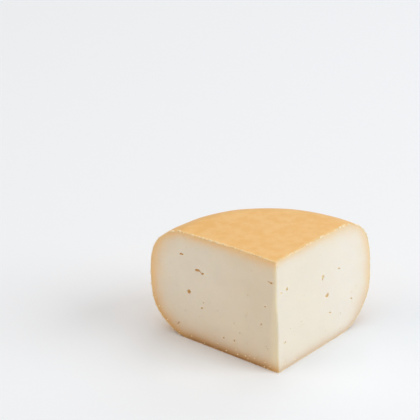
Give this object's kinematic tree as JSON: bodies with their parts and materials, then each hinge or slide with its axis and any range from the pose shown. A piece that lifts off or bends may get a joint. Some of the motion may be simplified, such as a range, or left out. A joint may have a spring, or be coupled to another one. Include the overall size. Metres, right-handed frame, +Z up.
{
  "type": "goat gouda cheese wedge",
  "caption": "Quarter wedge cut from a round goat gouda, with a satin orange rind, rounded shoulder and belly, flat base, and creamy cut faces with small irregular eyes.",
  "frame": {"origin": "on the ground, in the middle of the wedge's bounding box", "axes": "+Z up; -Y towards the cut corner; X level along the wedge's width"},
  "size_m": [0.1851, 0.1361, 0.1024],
  "materials": {
    "paste": "smooth creamy off-white cheese paste, moist matte, turning peach orange close to the rind",
    "rind": "satin orange-yellow cheese coating, finely mottled, with a pale ragged edge where it was cut"
  },
  "bodies": {
    "root": {"cheese_wedge": "paste"}
  },
  "joints": []
}
